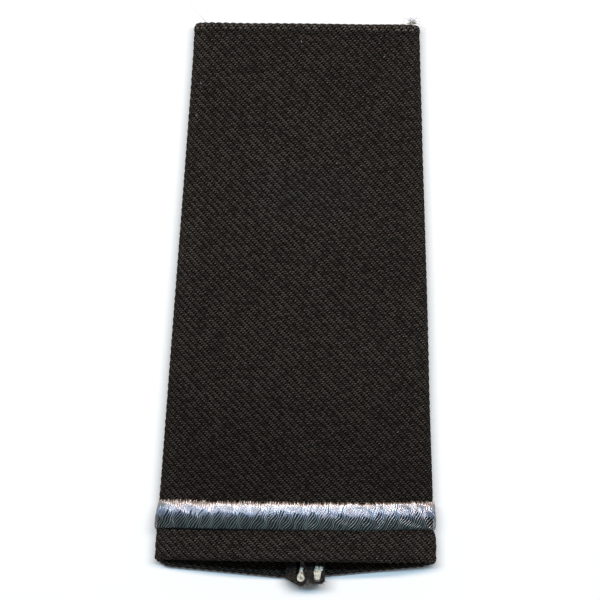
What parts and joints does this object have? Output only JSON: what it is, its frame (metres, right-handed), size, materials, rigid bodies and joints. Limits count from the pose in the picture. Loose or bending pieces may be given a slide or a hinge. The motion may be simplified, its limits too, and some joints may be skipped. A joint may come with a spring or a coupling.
{
  "type": "shoulder board",
  "caption": "Tapered slip-on cloth shoulder board, a flat twill sleeve open at both ends, with one raised embroidered bar across its front.",
  "frame": {"origin": "middle of the underside of the whole board's box, on the surface that it lies on", "axes": "+Y along the board towards its narrow collar end, +Z out of its front, +X across it to the right as its front is seen with the collar end up"},
  "size_m": [0.0568, 0.1134, 0.0102],
  "materials": {
    "twill": "matt black-brown wool twill",
    "interlining": "matt off-white interlining",
    "silver_thread": "glossy silver-grey embroidery thread"
  },
  "bodies": {
    "root": {"sleeve_panel": "twill", "seam_allowance_left": "twill", "seam_allowance_right": "twill", "interlining_left": "interlining", "interlining_right": "interlining", "embroidered_bar": "silver_thread"}
  },
  "joints": []
}
